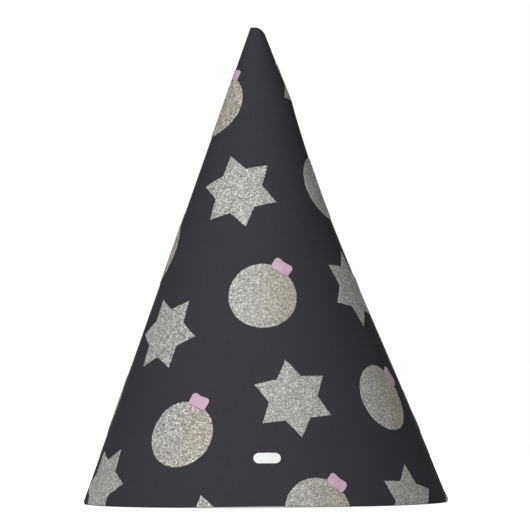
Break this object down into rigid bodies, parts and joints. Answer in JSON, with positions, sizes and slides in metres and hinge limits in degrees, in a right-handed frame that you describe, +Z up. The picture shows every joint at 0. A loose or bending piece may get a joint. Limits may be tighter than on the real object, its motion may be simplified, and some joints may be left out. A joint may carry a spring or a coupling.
{
  "type": "party hat",
  "caption": "Conical party hat of rolled dark card with a taped lap seam, an open tip and stuck-on glitter baubles and stars.",
  "frame": {"origin": "centre of the rim's circle, on the plane the hat stands on", "axes": "+Z up along the cone's axis towards the tip, the patterned front faces -Y, +X is the viewer's right, the lap seam is at +Y"},
  "size_m": [0.1153, 0.1161, 0.1501],
  "materials": {
    "printed_card": "matte",
    "seam_tape": "gloss",
    "glitter_film": "satin",
    "pink_film": "satin",
    "label_paper": "satin"
  },
  "bodies": {
    "root": {"bauble_cap_11": "pink_film", "bauble_cap_12": "pink_film", "bauble_cap_13": "pink_film", "bauble_cap_14": "pink_film", "bauble_cap_2": "pink_film", "bauble_cap_3": "pink_film", "bauble_cap_4": "pink_film", "bauble_cap_5": "pink_film", "bauble_cap_7": "pink_film", "bauble_cap_8": "pink_film", "bauble_cap_9": "pink_film", "blank_label": "label_paper", "cone_card": "printed_card", "glitter_bauble_1": "glitter_film", "glitter_bauble_10": "glitter_film", "glitter_bauble_11": "glitter_film", "glitter_bauble_12": "glitter_film", "glitter_bauble_13": "glitter_film", "glitter_bauble_14": "glitter_film", "glitter_bauble_15": "glitter_film", "glitter_bauble_2": "glitter_film", "glitter_bauble_3": "glitter_film", "glitter_bauble_4": "glitter_film", "glitter_bauble_5": "glitter_film", "glitter_bauble_6": "glitter_film", "glitter_bauble_7": "glitter_film", "glitter_bauble_8": "glitter_film", "glitter_bauble_9": "glitter_film", "glitter_star_1": "glitter_film", "glitter_star_10": "glitter_film", "glitter_star_11": "glitter_film", "glitter_star_12": "glitter_film", "glitter_star_13": "glitter_film", "glitter_star_14": "glitter_film", "glitter_star_2": "glitter_film", "glitter_star_3": "glitter_film", "glitter_star_4": "glitter_film", "glitter_star_5": "glitter_film", "glitter_star_6": "glitter_film", "glitter_star_7": "glitter_film", "glitter_star_8": "glitter_film", "glitter_star_9": "glitter_film", "seam_tape": "seam_tape"}
  },
  "joints": []
}
